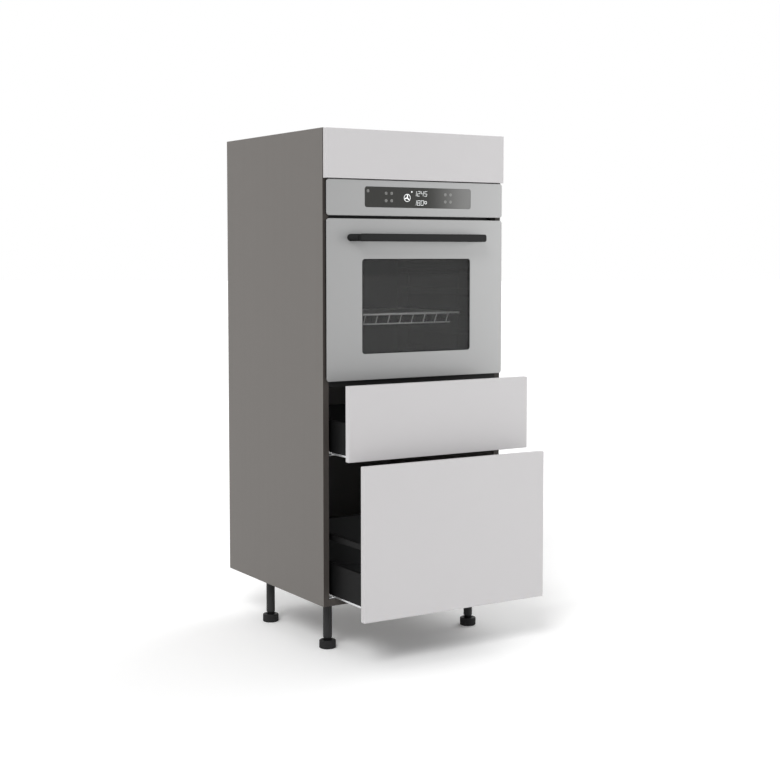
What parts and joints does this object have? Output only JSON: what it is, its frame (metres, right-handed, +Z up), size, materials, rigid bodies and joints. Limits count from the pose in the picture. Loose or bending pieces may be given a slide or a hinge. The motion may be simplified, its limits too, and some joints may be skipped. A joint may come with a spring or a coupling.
{
  "type": "tall oven housing unit",
  "caption": "Tall fitted kitchen unit on adjustable legs with a built-in electric oven, a shallow and a deep drawer on runners below it, and a filler panel above.",
  "frame": {"origin": "on the floor, under the centre of the carcass's footprint", "axes": "+X to the right seen from the front, +Y towards the wall behind, +Z up"},
  "size_m": [0.6, 0.819, 1.466],
  "materials": {
    "carcass_board": "satin foil",
    "dark_board": "matt foil",
    "front_board": "satin lacquer",
    "dowel_wood": "raw",
    "back_board": "matt",
    "galvanised_steel": "zinc plated",
    "drawer_steel": "fine powder coat",
    "drawer_board": "matt foil",
    "leg_plastic": "fine grain",
    "face_steel": "fine brushed",
    "black_plastic": "matt",
    "handle_black": "matt powder coat",
    "dark_glass": "tinted",
    "display_glass": "gloss",
    "clear_glass": "clear",
    "enamel": "gloss enamel",
    "chrome_wire": "polished",
    "heater_steel": "heat dulled",
    "wool": "loose",
    "seal_rubber": "matt",
    "lamp_glass": "clear"
  },
  "bodies": {
    "housing": {"left_side_panel": "carcass_board", "right_side_panel": "carcass_board", "bottom_panel": "carcass_board", "top_panel": "carcass_board", "oven_shelf": "dark_board", "front_rail": "carcass_board", "back_panels": "back_board", "filler_panel": "front_board", "filler_brackets": "galvanised_steel", "leg_sockets": "leg_plastic", "leg_tubes": "leg_plastic", "carcass_dowels": "dowel_wood", "top_runner_rails": "galvanised_steel", "deep_runner_rails": "galvanised_steel", "runner_screws": "galvanised_steel", "oven_casing": "galvanised_steel", "oven_rear_panel": "galvanised_steel", "oven_front_frame": "enamel", "cavity_liner": "enamel", "cavity_insulation": "wool", "door_seal": "seal_rubber", "hinge_receivers": "galvanised_steel", "control_panel": "face_steel", "control_housing": "black_plastic", "display_glass": "display_glass", "rack_ladders": "chrome_wire", "grill_element": "heater_steel", "oven_lamp": "lamp_glass", "fan_cover": "enamel", "fan_motor": "heater_steel", "mains_terminal": "black_plastic"},
    "top_drawer": {"top_drawer_front": "front_board", "top_drawer_sides": "drawer_steel", "top_drawer_base": "drawer_board", "top_drawer_back": "drawer_steel", "top_drawer_brackets": "galvanised_steel", "top_drawer_rails": "galvanised_steel"},
    "top_middle": {"top_middle_rails": "galvanised_steel"},
    "deep_drawer": {"deep_drawer_front": "front_board", "deep_drawer_sides": "drawer_steel", "deep_drawer_base": "drawer_board", "deep_drawer_back": "drawer_steel", "deep_drawer_brackets": "galvanised_steel", "deep_drawer_rails": "galvanised_steel", "gallery_rails": "drawer_steel"},
    "deep_middle": {"deep_middle_rails": "galvanised_steel"},
    "oven_door": {"door_panel": "face_steel", "door_window": "dark_glass", "door_frame": "black_plastic", "door_inner_frame": "black_plastic", "door_inner_glass": "clear_glass", "hinge_arms": "galvanised_steel", "handle_bar": "handle_black", "handle_posts": "handle_black"},
    "rack": {"wire_rack": "chrome_wire"},
    "fan": {"fan_wheel": "heater_steel"},
    "foot_fl": {"foot_front_left": "leg_plastic"},
    "foot_fr": {"foot_front_right": "leg_plastic"},
    "foot_rl": {"foot_rear_left": "leg_plastic"},
    "foot_rr": {"foot_rear_right": "leg_plastic"}
  },
  "joints": [
    {"name": "top_drawer_slide", "type": "slide", "parent": "housing", "child": "top_drawer", "axis": [0, -1, 0], "range_m": [-0.12, 0.32]},
    {"name": "top_middle_slide", "type": "slide", "parent": "housing", "child": "top_middle", "axis": [0, -1, 0], "range_m": [-0.06, 0.16]},
    {"name": "deep_drawer_slide", "type": "slide", "parent": "housing", "child": "deep_drawer", "axis": [0, -1, 0], "range_m": [-0.2, 0.24]},
    {"name": "deep_middle_slide", "type": "slide", "parent": "housing", "child": "deep_middle", "axis": [0, -1, 0], "range_m": [-0.1, 0.12]},
    {"name": "oven_door_hinge", "type": "hinge", "parent": "housing", "child": "oven_door", "pos_m": [0, -0.3085, 0.777], "axis": [1, 0, 0], "range_deg": [0, 90]},
    {"name": "rack_slide", "type": "slide", "parent": "housing", "child": "rack", "axis": [0, -1, 0], "range_m": [0, 0.07]},
    {"name": "fan_spin", "type": "hinge", "parent": "housing", "child": "fan", "pos_m": [0, 0.15, 0.988], "axis": [0, 1, 0], "continuous": true},
    {"name": "foot_fl_screw", "type": "slide", "parent": "housing", "child": "foot_fl", "axis": [0, 0, -1], "range_m": [0, 0.02]},
    {"name": "foot_fr_screw", "type": "slide", "parent": "housing", "child": "foot_fr", "axis": [0, 0, -1], "range_m": [0, 0.02]},
    {"name": "foot_rl_screw", "type": "slide", "parent": "housing", "child": "foot_rl", "axis": [0, 0, -1], "range_m": [0, 0.02]},
    {"name": "foot_rr_screw", "type": "slide", "parent": "housing", "child": "foot_rr", "axis": [0, 0, -1], "range_m": [0, 0.02]}
  ],
  "couplings": [
    {"joint": "top_middle_slide", "follows": "top_drawer_slide", "ratio": 0.5},
    {"joint": "deep_middle_slide", "follows": "deep_drawer_slide", "ratio": 0.5}
  ]
}
